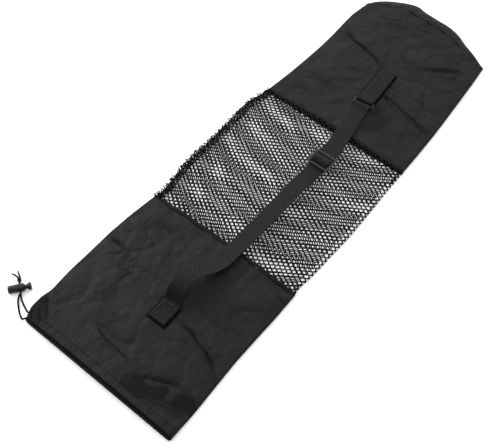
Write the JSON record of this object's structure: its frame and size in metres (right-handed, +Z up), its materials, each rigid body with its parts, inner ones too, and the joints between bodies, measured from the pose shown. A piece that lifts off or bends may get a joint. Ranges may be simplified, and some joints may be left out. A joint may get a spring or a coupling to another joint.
{
  "type": "yoga mat bag",
  "caption": "Long drawstring bag lying flat and empty: two plain cloth panels with an open net panel between them, a cord with a lock at the mouth and an adjustable webbing strap.",
  "frame": {"origin": "under the middle of the bag's box, on the surface it lies on, measured without the cord and its lock", "axes": "+X from the mouth to the closed end, +Y to the side where the cord leaves, +Z up through the strap"},
  "size_m": [0.7932, 0.2962, 0.0359],
  "materials": {
    "nylon": "plain weave, faint sheen",
    "net": "knitted net",
    "webbing": "ribbed webbing",
    "cord": "braided cord",
    "fitting_plastic": "moulded, satin",
    "lock_plastic": "moulded, satin"
  },
  "bodies": {
    "bag": {"mouth_panel": "nylon", "mesh_panel": "net", "base_panel": "nylon", "base_disc": "nylon", "strap": "webbing", "strap_slider": "fitting_plastic", "strap_ring": "fitting_plastic", "ring_tab": "webbing", "drawcord": "cord", "cord_lock_body": "lock_plastic"},
    "plunger": {"cord_lock_plunger": "lock_plastic"}
  },
  "joints": [
    {"name": "plunger_press", "type": "slide", "parent": "bag", "child": "plunger", "axis": [-0.7944, 0.6074, 0], "range_m": [0, 0.004], "stiffness_N_per_m": 1500, "springref_m": -0.003}
  ]
}
